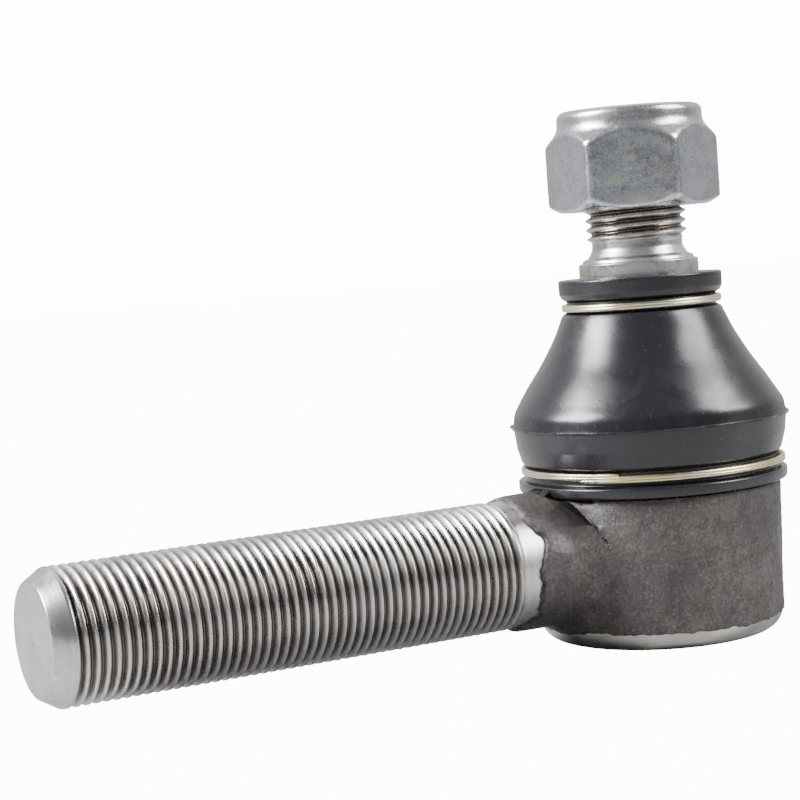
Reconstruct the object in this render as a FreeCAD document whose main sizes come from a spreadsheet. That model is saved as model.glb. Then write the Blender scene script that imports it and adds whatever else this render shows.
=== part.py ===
"""Tie rod end: a forged eye with a threaded shank, a ball stud that swings in it, boot, rings and lock nut.

Millimetres. The origin is the ball's centre, where the shank's axis crosses the eye's axis.
+Z runs up the stud at rest, and the shank points along -X.
"""

import FreeCAD, Part
import Sketcher
import math
import os
import re

doc = FreeCAD.newDocument("TieRodEnd")

# ---------------------------------------------------------------- driving dimensions

SIZES = {
    # eye, seen in section
    "eye_top_radius": 20.2,
    "eye_low_radius": 19.6,
    "eye_top": 9.2,
    "band_top": -11.2,
    "eye_bottom": -14.6,
    "edge_round": 3.4,
    # upstand that carries the boot's foot
    "collar_radius": 18.0,
    "collar_top": 13.7,
    "collar_groove_radius": 17.3,
    "collar_groove_low": 11.9,
    "collar_groove_high": 13.3,
    "boot_seat_radius": 22.4,
    "boot_seat_undercut": 5.6,
    # bore, mouth and rolled-in lip
    "bore_radius": 15.5,
    "bore_top": 6.0,
    "mouth_low_radius": 10.4,
    "mouth_high_radius": 13.6,
    "lip_hole_radius": 14.0,
    "cover_seat_radius": 16.6,
    "cover_low": -13.5,
    "cover_high": -12.0,
    # neck and shank
    "neck_inner_end": -5.0,
    "neck_root_radius": 10.9,
    "neck_radius": 10.5,
    "neck_end": -28.3,
    "plain_radius": 9.8,
    "plain_end": -30.9,
    "shank_radius": 10.0,
    "shank_bevel_start": -101.9,
    "shank_end": -104.9,
    "shank_end_radius": 8.3,
    # both threads, M20 x 1.5 and M16 x 1.5
    "thread_pitch": 1.5,
    "thread_half_mouth": 0.656,
    "thread_half_root": 0.15,
    "thread_overcut": 0.3,
    "shank_first_groove": -31.25,
    "shank_grooves": 47,
    "stud_first_groove": 49.3,
    "stud_grooves": 12,
    # ball stud
    "ball_radius": 11.5,
    "ball_flat": -10.3,
    "stud_neck_radius": 6.6,
    "stud_neck_top": 18.5,
    "taper_low": 23.5,
    "taper_top": 42.9,
    "shoulder_radius": 9.5,
    "shoulder_top": 45.2,
    "shoulder_ledge_radius": 8.9,
    "stud_hollow_round": 3.6,
    "stud_root_radius": 7.2,
    "stud_thread_start": 48.2,
    "stud_radius": 8.0,
    "stud_end": 67.2,
    "stud_bevel": 1.0,
    # ball seats and spring
    "seat_radius": 15.45,
    "seat_clearance": 0.05,
    "seat_split": 0.6,
    "seat_mouth_radius": 10.0,
    "lower_seat_bottom": -10.6,
    "lower_seat_hole_radius": 5.8,
    "spring_inner_radius": 7.5,
    "spring_outer_radius": 14.0,
    "spring_thickness": 0.8,
    "cover_radius": 16.55,
    "cover_dome_radius": 8.0,
    "cover_dome": 0.5,
    # dust boot
    "boot_foot_low": 9.5,
    "boot_foot_high": 11.2,
    "boot_foot_radius": 21.4,
    "boot_gap": 0.3,
    "boot_ring_seat_radius": 20.05,
    "boot_ring_seat_top": 13.6,
    "boot_belly_low_radius": 20.6,
    "boot_belly": 19.8,
    "boot_belly_radius": 21.9,
    "boot_cone_low": 22.4,
    "boot_cone_low_radius": 21.1,
    "boot_cone_mid": 29.4,
    "boot_cone_mid_radius": 16.6,
    "boot_cone_top": 37.0,
    "boot_cone_top_radius": 12.8,
    "boot_neck_radius": 11.8,
    "boot_neck_top": 40.0,
    "boot_lip_low": 40.6,
    "boot_lip_radius": 13.0,
    "boot_top": 42.8,
    "boot_wall": 1.8,
    "boot_lip_hole_low_radius": 10.2,
    "boot_lip_hole_high_radius": 9.85,
    # wire rings
    "wire_radius": 0.42,
    "wire_step": 0.76,
    "lower_ring_radius": 20.5,
    "lower_ring_height": 12.7,
    "upper_ring_radius": 12.25,
    "upper_ring_height": 38.35,
    # lock nut and its insert
    "nut_flats": 24.0,
    "nut_low": 53.4,
    "nut_hex_top": 66.3,
    "nut_bevel_radius": 11.6,
    "nut_bevel_reach": 3.0,
    "nut_low_bevel_drop": 1.6,
    "nut_high_bevel_drop": 3.4,
    "nut_crown_radius": 11.6,
    "nut_crown_low": 62.0,
    "nut_crown_round": 1.3,
    "nut_top": 69.4,
    "nut_bore_radius": 8.06,
    "nut_countersink": 0.9,
    "nut_mouth_radius": 9.4,
    "insert_radius": 10.0,
    "insert_clearance": 0.05,
    "insert_low": 64.8,
    "insert_high": 68.4,
}

NUT_TURN = 25.2  # degrees that the hexagon is turned from a corner on +X

sheet = doc.addObject("Spreadsheet::Sheet", "Sizes")
for row, (alias, number) in enumerate(SIZES.items(), start=1):
    sheet.set(f"A{row}", alias)
    sheet.set(f"B{row}", str(number))
    sheet.setAlias(f"B{row}", alias)
doc.recompute()


# ---------------------------------------------------------------- sketching


def bound(text):
    """The expression with each named size written as a cell of the sheet."""
    return re.sub(r"[a-z_]+", lambda word: "Sizes." + word[0] if word[0] in SIZES else word[0], text)


def number(text):
    """What an expression comes to now."""
    value = sheet.evalExpression(bound(text).replace("Sizes.", ""))
    return float(getattr(value, "Value", value))


def fix(sketch, axis, geometry, end, text):
    """Hold one coordinate of a line's or arc's end at an expression."""
    value = number(text)
    if abs(value) < 1e-9:
        along = -2 if axis == "DistanceX" else -1
        sketch.addConstraint(Sketcher.Constraint("PointOnObject", geometry, end, along))
        return
    if value > 0:
        held = Sketcher.Constraint(axis, -1, 1, geometry, end, value)
        expression = bound(text)
    else:
        held = Sketcher.Constraint(axis, geometry, end, -1, 1, -value)
        expression = f"-({bound(text)})"
    index = sketch.addConstraint(held)
    sketch.setExpression(f"Constraints[{index}]", expression)


def arc_between(start, finish, radius, turn):
    """A round edge from start to finish: turn is 1 if it bends to the left, -1 to the right."""
    chord = finish - start
    middle = (start + finish) * 0.5
    side = FreeCAD.Vector(-chord.y, chord.x, 0).normalize()
    height = math.sqrt(radius**2 - (chord.Length / 2) ** 2)
    centre = middle + side * height * turn
    first, last = (start, finish) if turn > 0 else (finish, start)
    from_angle = math.atan2(first.y - centre.y, first.x - centre.x)
    to_angle = math.atan2(last.y - centre.y, last.x - centre.x)
    circle = Part.Circle(centre, FreeCAD.Vector(0, 0, 1), radius)
    return Part.ArcOfCircle(circle, from_angle, to_angle)


def outline(body, plane, points, name):
    """A closed sketch through points given as expressions.

    A point is (across, up), or (across, up, radius, turn) if a round edge leaves it.
    """
    sketch = body.newObject("Sketcher::SketchObject", name)
    planes = [p for p in body.Origin.OriginFeatures if p.Role == plane]
    sketch.AttachmentSupport = [(planes[0], "")]
    sketch.MapMode = "FlatFace"
    places = [FreeCAD.Vector(number(p[0]), number(p[1]), 0) for p in points]
    ends = []
    for i, point in enumerate(points):
        start, finish = places[i], places[(i + 1) % len(points)]
        if len(point) == 4:
            edge = arc_between(start, finish, number(point[2]), point[3])
            ends.append((1, 2) if point[3] > 0 else (2, 1))
        else:
            edge = Part.LineSegment(start, finish)
            ends.append((1, 2))
        sketch.addGeometry(edge, False)
    for i in range(len(points)):
        before = i - 1 if i else len(points) - 1
        sketch.addConstraint(Sketcher.Constraint("Coincident", before, ends[before][1], i, ends[i][0]))
    for i, point in enumerate(points):
        fix(sketch, "DistanceX", i, ends[i][0], point[0])
        fix(sketch, "DistanceY", i, ends[i][0], point[1])
        if len(point) == 4:
            index = sketch.addConstraint(Sketcher.Constraint("Radius", i, number(point[2])))
            sketch.setExpression(f"Constraints[{index}]", bound(point[2]))
    return sketch


def turned(body, kind, points, name, axis="V_Axis"):
    """A Revolution or a Groove, once round the eye's axis (V_Axis) or the shank's (H_Axis)."""
    before = body.Shape.Volume if body.Tip else 0
    sketch = outline(body, "XZ_Plane", points, name + "Sketch")
    feature = body.newObject("PartDesign::" + kind, name)
    feature.Profile = sketch
    feature.ReferenceAxis = (sketch, [axis])
    feature.Angle = 360
    doc.recompute()
    grew = body.Shape.Volume > before
    if grew != (kind == "Revolution"):
        raise RuntimeError(f"{name} did not change {body.Label} as it should")
    return feature


def cut_thread(body, crest, first, count, axis, name):
    """Ring grooves of one pitch each, cut by a 60 degree tool: crests keep a narrow flat."""
    depth = "(thread_half_mouth - thread_half_root) / tan(30 deg)"
    flare = "(thread_half_mouth + thread_overcut * tan(30 deg))"
    section = [
        (f"{first} - {flare}", f"{crest} + thread_overcut"),
        (f"{first} - thread_half_root", f"{crest} - {depth}"),
        (f"{first} + thread_half_root", f"{crest} - {depth}"),
        (f"{first} + {flare}", f"{crest} + thread_overcut"),
    ]
    if axis == "V_Axis":
        section = [(across, up) for up, across in section]
    groove = turned(body, "Groove", section, name + "Groove", axis)
    pattern = body.newObject("PartDesign::LinearPattern", name + "Pattern")
    pattern.Originals = [groove]
    pattern.Direction = (groove.Profile[0], [axis])
    pattern.Reversed = axis == "H_Axis"
    pattern.Mode = "Spacing"
    pattern.setExpression("Offset", bound("thread_pitch"))
    pattern.setExpression("Occurrences", bound(count))
    body.Tip = pattern
    doc.recompute()
    return pattern


def new_body(label):
    body = doc.addObject("PartDesign::Body", label)
    body.Label = label
    return body



# ---------------------------------------------------------------- housing


def housing():
    """One forging: the eye, the upstand for the boot, the neck and the threaded shank."""
    body = new_body("housing")
    eye = [
        ("0", "collar_top"),
        ("collar_radius", "collar_top"),
        ("collar_radius", "collar_groove_high"),
        ("collar_groove_radius", "collar_groove_high"),
        ("collar_groove_radius", "collar_groove_low"),
        ("collar_radius", "collar_groove_low"),
        ("collar_radius", "eye_top"),
        ("eye_top_radius", "eye_top"),
        ("eye_low_radius", "band_top", "edge_round", -1),
        ("eye_low_radius - edge_round", "eye_bottom"),
        ("0", "eye_bottom"),
    ]
    turned(body, "Revolution", eye, "Eye")
    shank = [
        ("neck_inner_end", "0"),
        ("neck_inner_end", "neck_root_radius"),
        ("neck_end", "neck_radius"),
        ("neck_end", "plain_radius"),
        ("plain_end", "plain_radius"),
        ("plain_end", "shank_radius"),
        ("shank_bevel_start", "shank_radius"),
        ("shank_end", "shank_end_radius"),
        ("shank_end", "0"),
    ]
    turned(body, "Revolution", shank, "Shank", "H_Axis")
    boot_seat = [
        ("collar_radius", "eye_top"),
        ("eye_top_radius", "eye_top"),
        ("eye_top_radius", "boot_seat_undercut"),
        ("boot_seat_radius", "eye_top"),
        ("boot_seat_radius", "collar_top"),
        ("collar_radius", "collar_top"),
    ]
    turned(body, "Groove", boot_seat, "BootSeat")
    socket = [
        ("0", "eye_bottom - 1"),
        ("lip_hole_radius", "eye_bottom - 1"),
        ("lip_hole_radius", "cover_low"),
        ("cover_seat_radius", "cover_low"),
        ("cover_seat_radius", "cover_high"),
        ("bore_radius", "cover_high"),
        ("bore_radius", "bore_top"),
        ("mouth_low_radius", "bore_top"),
        ("mouth_high_radius", "collar_top"),
        ("mouth_high_radius", "collar_top + 1"),
        ("0", "collar_top + 1"),
    ]
    turned(body, "Groove", socket, "Socket")
    cut_thread(body, "shank_radius", "shank_first_groove", "shank_grooves", "H_Axis", "ShankThread")
    return body


# ---------------------------------------------------------------- what fills the socket


def upper_ball_seat():
    """Hard ring between the ball's upper half and the shoulder of the bore."""
    body = new_body("upper_ball_seat")
    cup = "(ball_radius + seat_clearance)"
    section = [
        ("seat_radius", "seat_split"),
        ("seat_radius", "bore_top"),
        ("seat_mouth_radius", "bore_top"),
        ("seat_mouth_radius", f"sqrt({cup}^2 - seat_mouth_radius^2)", cup, -1),
        (f"sqrt({cup}^2 - seat_split^2)", "seat_split"),
    ]
    turned(body, "Revolution", section, "UpperSeat")
    return body


def lower_ball_seat():
    """Cup under the ball, pushed up by the spring."""
    body = new_body("lower_ball_seat")
    cup = "(ball_radius + seat_clearance)"
    section = [
        ("seat_radius", "-seat_split"),
        (f"sqrt({cup}^2 - seat_split^2)", "-seat_split", cup, -1),
        ("lower_seat_hole_radius", f"-sqrt({cup}^2 - lower_seat_hole_radius^2)"),
        ("lower_seat_hole_radius", "lower_seat_bottom"),
        ("seat_radius", "lower_seat_bottom"),
    ]
    turned(body, "Revolution", section, "LowerSeat")
    return body


def preload_spring():
    """Disc spring: a shallow cone between the lower seat and the cover."""
    body = new_body("preload_spring")
    section = [
        ("spring_inner_radius", "lower_seat_bottom"),
        ("spring_inner_radius", "lower_seat_bottom - spring_thickness"),
        ("spring_outer_radius", "cover_high"),
        ("spring_outer_radius", "cover_high + spring_thickness"),
    ]
    turned(body, "Revolution", section, "Spring")
    return body


def closing_cover():
    """Pressed disc with a low dome, held by the rolled-in lip."""
    body = new_body("closing_cover")
    section = [
        ("0", "cover_high + cover_dome"),
        ("cover_dome_radius", "cover_high"),
        ("cover_radius", "cover_high"),
        ("cover_radius", "cover_low"),
        ("cover_dome_radius", "cover_low"),
        ("0", "cover_low + cover_dome"),
    ]
    turned(body, "Revolution", section, "Cover")
    return body


# ---------------------------------------------------------------- ball stud


def ball_stud():
    """Ball, narrow neck, 1 in 10 taper inside the boot, short shoulder, hollow and thread."""
    body = new_body("ball_stud")
    section = [
        ("0", "ball_flat"),
        ("sqrt(ball_radius^2 - ball_flat^2)", "ball_flat", "ball_radius", 1),
        ("stud_neck_radius", "sqrt(ball_radius^2 - stud_neck_radius^2)"),
        ("stud_neck_radius", "stud_neck_top"),
        ("shoulder_radius + (taper_top - taper_low) / 20", "taper_low"),
        ("shoulder_radius", "taper_top"),
        ("shoulder_radius", "shoulder_top"),
        ("shoulder_ledge_radius", "shoulder_top", "stud_hollow_round", -1),
        ("stud_root_radius", "stud_thread_start"),
        ("stud_radius", "stud_thread_start + stud_radius - stud_root_radius"),
        ("stud_radius", "stud_end - stud_bevel"),
        ("stud_radius - stud_bevel", "stud_end"),
        ("0", "stud_end"),
    ]
    turned(body, "Revolution", section, "Stud")
    cut_thread(body, "stud_radius", "stud_first_groove", "stud_grooves", "V_Axis", "StudThread")
    return body


# ---------------------------------------------------------------- boot and its rings


def dust_boot():
    """Rubber boot: foot round the upstand, belly, cone and a lip round the stud."""
    body = new_body("dust_boot")
    section = [
        ("collar_radius + boot_gap", "boot_foot_low"),
        ("boot_foot_radius", "boot_foot_low"),
        ("boot_foot_radius", "boot_foot_high"),
        ("boot_ring_seat_radius", "boot_foot_high"),
        ("boot_ring_seat_radius", "boot_ring_seat_top"),
        ("boot_belly_low_radius", "boot_ring_seat_top"),
        ("boot_belly_radius", "boot_belly"),
        ("boot_cone_low_radius", "boot_cone_low"),
        ("boot_cone_mid_radius", "boot_cone_mid"),
        ("boot_cone_top_radius", "boot_cone_top"),
        ("boot_neck_radius", "boot_cone_top"),
        ("boot_neck_radius", "boot_neck_top"),
        ("boot_lip_radius", "boot_lip_low"),
        ("boot_lip_radius", "boot_top"),
        ("boot_lip_hole_high_radius", "boot_top"),
        ("boot_lip_hole_low_radius", "boot_cone_top - boot_wall / 2"),
        ("boot_cone_mid_radius - boot_wall", "boot_cone_mid - boot_wall / 2"),
        ("boot_cone_low_radius - boot_wall", "boot_cone_low - boot_wall / 2"),
        ("boot_belly_radius - boot_wall", "boot_belly"),
        ("boot_belly_low_radius - boot_wall", "collar_top + boot_gap"),
        ("collar_radius + boot_gap", "collar_top + boot_gap"),
        ("collar_radius + boot_gap", "collar_groove_high - boot_gap"),
        ("collar_groove_radius + boot_gap", "collar_groove_high - boot_gap"),
        ("collar_groove_radius + boot_gap", "collar_groove_low + boot_gap"),
        ("collar_radius + boot_gap", "collar_groove_low + boot_gap"),
    ]
    turned(body, "Revolution", section, "Boot")
    return body


def wire_ring(label, radius, height):
    """Two turns of round wire, one on the other, squeezed together."""
    turns = []
    for name, side in (("Low", -1), ("High", 1)):
        turn = doc.addObject("Part::Torus", label + name)
        turn.setExpression("Radius1", bound(radius))
        turn.setExpression("Radius2", bound("wire_radius"))
        turn.setExpression("Placement.Base.z", bound(f"{height} + {side} * wire_step / 2"))
        turns.append(turn)
    ring = doc.addObject("Part::Fuse", label)
    ring.Base, ring.Tool = turns
    ring.Label = label
    return ring


# ---------------------------------------------------------------- lock nut


def lock_nut():
    """Hexagon nut with bevelled corners and a round crown rolled in over the insert."""
    body = new_body("lock_nut")
    corner = "nut_flats / sqrt(3)"
    hexagon = [
        (corner, "0"),
        (f"{corner} / 2", "nut_flats / 2"),
        (f"-{corner} / 2", "nut_flats / 2"),
        (f"-{corner}", "0"),
        (f"-{corner} / 2", "-nut_flats / 2"),
        (f"{corner} / 2", "-nut_flats / 2"),
    ]
    sketch = outline(body, "XY_Plane", hexagon, "HexagonSketch")
    sketch.setExpression("AttachmentOffset.Base.z", bound("nut_low"))
    prism = body.newObject("PartDesign::Pad", "Hexagon")
    prism.Profile = sketch
    prism.setExpression("Length", bound("nut_hex_top - nut_low"))
    doc.recompute()
    bevels = (
        ("LowBevel", "nut_low", 1, "nut_low_bevel_drop"),
        ("HighBevel", "nut_hex_top", -1, "nut_high_bevel_drop"),
    )
    for name, face, side, drop in bevels:
        bevel = [
            ("nut_bevel_radius", face),
            ("nut_bevel_radius + nut_bevel_reach", f"{face} + {side} * {drop}"),
            ("nut_bevel_radius + nut_bevel_reach", f"{face} - {side} * 1"),
            ("nut_bevel_radius", f"{face} - {side} * 1"),
        ]
        turned(body, "Groove", bevel, name)
    crown = [
        ("0", "nut_crown_low"),
        ("nut_crown_radius", "nut_crown_low"),
        ("nut_crown_radius", "nut_top - nut_crown_round", "nut_crown_round", 1),
        ("nut_crown_radius - nut_crown_round", "nut_top"),
        ("0", "nut_top"),
    ]
    turned(body, "Revolution", crown, "Crown")
    bore = [
        ("0", "nut_low - 1"),
        ("nut_bore_radius + nut_countersink", "nut_low - 1"),
        ("nut_bore_radius + nut_countersink", "nut_low"),
        ("nut_bore_radius", "nut_low + nut_countersink"),
        ("nut_bore_radius", "insert_low - insert_clearance"),
        ("insert_radius + insert_clearance", "insert_low - insert_clearance"),
        ("insert_radius + insert_clearance", "insert_high + insert_clearance"),
        ("nut_mouth_radius", "insert_high + insert_clearance"),
        ("nut_mouth_radius", "nut_top + 1"),
        ("0", "nut_top + 1"),
    ]
    turned(body, "Groove", bore, "Bore")
    body.Placement = FreeCAD.Placement(
        FreeCAD.Vector(0, 0, 0), FreeCAD.Rotation(FreeCAD.Vector(0, 0, 1), NUT_TURN)
    )
    return body


def nylon_insert():
    """Plain ring that grips the stud's thread."""
    body = new_body("nylon_insert")
    section = [
        ("nut_bore_radius", "insert_low"),
        ("insert_radius", "insert_low"),
        ("insert_radius", "insert_high"),
        ("nut_bore_radius", "insert_high"),
    ]
    turned(body, "Revolution", section, "Insert")
    return body


# ---------------------------------------------------------------- build, check and write

pieces = [
    housing(),
    upper_ball_seat(),
    lower_ball_seat(),
    preload_spring(),
    closing_cover(),
    ball_stud(),
    dust_boot(),
    wire_ring("lower_boot_ring", "lower_ring_radius", "lower_ring_height"),
    wire_ring("upper_boot_ring", "upper_ring_radius", "upper_ring_height"),
    lock_nut(),
    nylon_insert(),
]
doc.recompute()

for item in doc.Objects:
    if "Invalid" in item.State or "Error" in item.State:
        raise RuntimeError(f"{item.Label} failed: {item.State}")

os.makedirs("parts", exist_ok=True)
for piece in pieces:
    shape = piece.Shape
    if shape.isNull() or not shape.isValid() or len(shape.Solids) != 1:
        raise RuntimeError(f"{piece.Label} is not one valid solid")
    shape.exportStep(f"parts/{piece.Label}.step")
    print(f"{piece.Label}: {shape.Volume:.0f} mm3")
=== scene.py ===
"""Tie rod end: the forged eye and shank, the ball joint inside it, the boot, its rings and the lock nut.

Sizes are millimetres and become metres as a mesh is made. The ball's centre is the origin, Z runs up
the stud and the shank points along -X.
"""

import math

import bmesh
import bpy
import numpy as np
from mathutils import Matrix, Vector, noise


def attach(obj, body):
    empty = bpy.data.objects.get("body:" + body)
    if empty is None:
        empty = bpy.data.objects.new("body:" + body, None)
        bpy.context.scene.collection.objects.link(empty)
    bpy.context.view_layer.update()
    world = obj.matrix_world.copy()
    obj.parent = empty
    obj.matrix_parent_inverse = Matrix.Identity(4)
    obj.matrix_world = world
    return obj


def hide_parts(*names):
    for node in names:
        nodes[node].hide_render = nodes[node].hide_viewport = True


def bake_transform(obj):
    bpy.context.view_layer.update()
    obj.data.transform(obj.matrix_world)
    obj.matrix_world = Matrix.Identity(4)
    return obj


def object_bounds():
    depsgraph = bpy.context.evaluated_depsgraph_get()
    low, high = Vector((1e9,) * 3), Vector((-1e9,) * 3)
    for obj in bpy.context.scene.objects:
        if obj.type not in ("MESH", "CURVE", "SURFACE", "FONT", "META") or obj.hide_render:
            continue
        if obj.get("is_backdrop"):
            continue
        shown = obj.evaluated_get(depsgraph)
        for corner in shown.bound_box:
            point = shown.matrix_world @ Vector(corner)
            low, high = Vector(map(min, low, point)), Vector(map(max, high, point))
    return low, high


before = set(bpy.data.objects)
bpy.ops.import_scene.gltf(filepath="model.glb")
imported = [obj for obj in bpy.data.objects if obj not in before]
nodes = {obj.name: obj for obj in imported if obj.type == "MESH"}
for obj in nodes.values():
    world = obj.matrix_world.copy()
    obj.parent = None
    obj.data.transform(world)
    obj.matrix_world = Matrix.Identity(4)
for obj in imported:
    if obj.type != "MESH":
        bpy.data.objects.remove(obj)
cad_low, cad_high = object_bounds()

# ---------------------------------------------------------------- forged housing
# The eye and the neck are one hot forging of medium carbon steel. Its outside keeps the dark skin of
# the dies; the boot's seat is faced with a turning tool, which also nicks the root of the neck.

MM = 0.001
EYE_TOP = 9.2
EYE_TOP_RADIUS = 20.3
EYE_LOW_RADIUS = 19.6
EYE_SKIN_END = -11.5
EYE_PLUG_END = -12.9
NECK_ROOT_RADIUS = 10.95
NECK_RADIUS = 10.55
NECK_END = -28.1
BOOT_SEAT_RADIUS = 22.4
UNDERCUT = 5.6
HOLLOW_RADIUS = 17.2
EYE_EDGE = 0.5
NECK_EDGE = 0.7
NECK_FILLET = 3.4
SKIN_CHAMFER = 0.8


def in_scene(name, mesh):
    """A new object for a mesh, in the scene."""
    piece = bpy.data.objects.new(name, mesh)
    bpy.context.scene.collection.objects.link(piece)
    return piece


def made_of(name, points, faces):
    """A mesh object from points in millimetres."""
    mesh = bpy.data.meshes.new(name)
    mesh.from_pydata((np.asarray(points, float) * MM).tolist(), [], faces)
    mesh.update()
    return in_scene(name, mesh)


def ring_faces(rows, sides, closed=False):
    """Quads between rows of points that each go once round."""
    faces = []
    for row in range(rows if closed else rows - 1):
        low, high = row * sides, (row + 1) % rows * sides
        for side in range(sides):
            after = (side + 1) % sides
            faces.append((low + side, low + after, high + after, high + side))
    return faces


def spun(outline, sides):
    """Points of an outline of (radius, height) spun round Z."""
    turn = np.arange(sides) * 2 * math.pi / sides
    radius, height = np.array(outline, float).T
    x = radius[:, None] * np.cos(turn)
    y = radius[:, None] * np.sin(turn)
    z = np.repeat(height[:, None], sides, axis=1)
    return np.stack([x, y, z], axis=2).reshape(-1, 3)


def smoothed(piece, sharp=35):
    """Smooth shading that breaks only at real edges."""
    piece.data.shade_smooth()
    piece.data.set_sharp_from_angle(angle=math.radians(sharp))
    return piece


def blended(first, second, reach):
    """The union of two distance fields with a rolled fillet of about that reach."""
    share = np.clip(0.5 + 0.5 * (second - first) / reach, 0, 1)
    return second + (first - second) * share - reach * share * (1 - share)


def trimmed(first, second, reach):
    """What two distance fields have in common, with its edge rounded over that reach."""
    return -blended(-first, -second, reach)


def carved(name, rough, rule, step):
    """Remeshes a rough solid evenly and draws it on to the surface where rule(points) is zero."""
    remesh = rough.modifiers.new("Even", "REMESH")
    remesh.mode = "VOXEL"
    remesh.voxel_size = step * MM
    graph = bpy.context.evaluated_depsgraph_get()
    mesh = bpy.data.meshes.new_from_object(rough.evaluated_get(graph))
    bpy.data.objects.remove(rough)
    mesh.name = name
    points = np.zeros(len(mesh.vertices) * 3)
    mesh.vertices.foreach_get("co", points)
    points = points.reshape(-1, 3) / MM
    reach = 0.02
    rounds = 7
    flattest = 0.2
    longest = 0.6
    for _ in range(rounds):
        gap = rule(points)
        slope = np.stack([(rule(points + reach * way) - gap) / reach for way in np.eye(3)], axis=1)
        steep = np.maximum((slope**2).sum(axis=1), flattest)
        points = points - np.clip(gap / steep, -longest, longest)[:, None] * slope
    mesh.vertices.foreach_set("co", (points * MM).ravel())
    mesh.update()
    return in_scene(name, mesh)


def joined(name, parts):
    """Several rough solids as one object, in any overlap."""
    shape = bmesh.new()
    for part in parts:
        shape.from_mesh(part.data)
        bpy.data.objects.remove(part)
    mesh = bpy.data.meshes.new(name)
    shape.to_mesh(mesh)
    shape.free()
    return in_scene(name, mesh)


def bar(name, radius, start, end, sides, along="Z"):
    """A plain round bar, which only ever serves as rough stock or as a cutter."""
    outline = [(radius, start), (radius, end)]
    points = spun(outline, sides)
    if along == "X":
        points = points[:, [2, 0, 1]]
    faces = ring_faces(2, sides)
    faces += [tuple(reversed(range(sides))), tuple(range(sides, 2 * sides))]
    return made_of(name, points, faces)


def waver(angle, waves):
    """A slow uneven line round a part: the sum of (size, times round, start) waves."""
    return sum(size * np.sin(times * angle + start) for size, times, start in waves)


SKIN_EDGE = ((0.75, 5, 0.6), (0.5, 2, 1.571), (0.3, 9, 2.2), (0.14, 19, 0.4), (0.08, 43, 2.0))
BAND_EDGE = ((0.12, 2, 1.0), (0.06, 7, 2.0), (0.05, 23, 0.5), (0.05, 41, 3.0), (0.04, 67, 1.5))


def forging_rule(points):
    """Distance from the forging's surface: eye and neck run together, then faced and nicked."""
    x, y, z = points.T
    out = np.hypot(x, y)
    round_eye = np.arctan2(y, x)
    fall = (z - EYE_SKIN_END) / (EYE_TOP - EYE_SKIN_END)
    wall = EYE_LOW_RADIUS + (EYE_TOP_RADIUS - EYE_LOW_RADIUS) * fall
    skin_end = EYE_SKIN_END + waver(round_eye, BAND_EDGE)
    wall = wall - SKIN_CHAMFER * np.maximum(skin_end - z, 0)
    eye = np.maximum(trimmed(out - wall, z - EYE_TOP, EYE_EDGE), EYE_PLUG_END - z)
    from_axis = np.hypot(y, z)
    slim = np.clip(x / NECK_END, 0, 1)
    round_neck = np.arctan2(z, y)
    neck_end = NECK_END + waver(round_neck, SKIN_EDGE)
    neck = from_axis - (NECK_ROOT_RADIUS + (NECK_RADIUS - NECK_ROOT_RADIUS) * slim)
    neck = np.maximum(trimmed(neck, neck_end - x, NECK_EDGE), x)
    whole = blended(eye, neck, NECK_FILLET)
    faced = np.maximum(EYE_TOP - z, out - BOOT_SEAT_RADIUS)
    fall = math.atan2(EYE_TOP - UNDERCUT, BOOT_SEAT_RADIUS - EYE_TOP_RADIUS)
    floor = (UNDERCUT - z) * math.cos(fall) + (out - EYE_TOP_RADIUS) * math.sin(fall)
    undercut = np.maximum(floor, EYE_TOP_RADIUS + 0.1 - out)
    return np.maximum(whole, -np.minimum(faced, undercut))


def roughened(piece, lift):
    """Moves each point of a piece along its normal by lift(place), all in millimetres."""
    mesh = piece.data
    normals = np.zeros(len(mesh.vertices) * 3)
    mesh.vertices.foreach_get("normal", normals)
    for point, normal in zip(mesh.vertices, normals.reshape(-1, 3)):
        point.co += Vector(normal) * lift(point.co / MM) * MM


def die_skin(at):
    """The dies leave the outside faintly uneven; the faced top and all that is within stay true."""
    if at.x**2 + at.y**2 < (EYE_LOW_RADIUS - 1.5) ** 2 or at.z > EYE_TOP - 0.05:
        return 0
    swell = 0.09 * noise.fractal(at / 5.0, 0.9, 2.1, 3)
    pits = 0.05 * noise.fractal(at / 1.1, 0.8, 2.2, 3)
    return swell + pits


stock = joined("forging_stock", [
    bar("eye_stock", EYE_LOW_RADIUS, EYE_PLUG_END, EYE_TOP, 120),
    bar("neck_stock", NECK_ROOT_RADIUS, NECK_END, -2, 90, "X"),
])
forging = carved("housing_forging", stock, forging_rule, 0.3)

roughened(forging, die_skin)

hollow = bar("hollow_cutter", HOLLOW_RADIUS, EYE_PLUG_END - 2, EYE_TOP + 2, 160)
cut = forging.modifiers.new("Hollow", "BOOLEAN")
cut.operation = "DIFFERENCE"
cut.solver = "MANIFOLD"
cut.object = hollow
graph = bpy.context.evaluated_depsgraph_get()
forging.data = bpy.data.meshes.new_from_object(forging.evaluated_get(graph))
forging.modifiers.clear()
bpy.data.objects.remove(hollow)
smoothed(forging, 50)


def add(tree, kind, values=(), **settings):
    """A shader node with its settings, and its inputs set to values or linked to sockets."""
    node = tree.nodes.new(kind)
    for setting, value in settings.items():
        setattr(node, setting, value)
    for slot, value in dict(values).items():
        if isinstance(value, bpy.types.NodeSocket):
            tree.links.new(value, node.inputs[slot])
        else:
            node.inputs[slot].default_value = value
    return node


def math_of(tree, operation, first, second=0.0, third=0.0, clamp=False):
    """One Math node's result."""
    values = {0: first, 1: second, 2: third}
    return add(tree, "ShaderNodeMath", values, operation=operation, use_clamp=clamp).outputs[0]


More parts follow.
